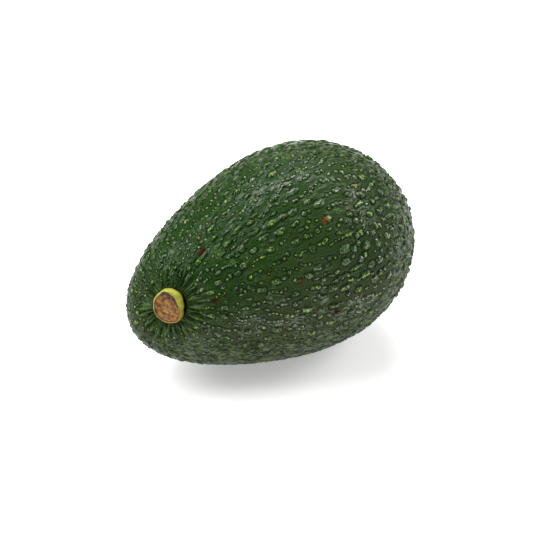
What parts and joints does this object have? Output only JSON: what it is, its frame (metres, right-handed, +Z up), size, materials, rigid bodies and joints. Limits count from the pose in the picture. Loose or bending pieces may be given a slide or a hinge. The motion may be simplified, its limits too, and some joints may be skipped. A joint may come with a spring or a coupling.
{
  "type": "avocado",
  "caption": "Whole avocado with dark green pebbled skin, lying on its side, with the short corky stem stub still in its socket.",
  "frame": {"origin": "middle of the small flat spot that the fruit rests on", "axes": "+Z up from the table, +X along the fruit from the stem end towards the round blossom end"},
  "size_m": [0.0967, 0.0681, 0.0657],
  "materials": {
    "skin": "satin",
    "stem": "matte"
  },
  "bodies": {
    "root": {"fruit": "skin", "stem_stub": "stem"}
  },
  "joints": []
}
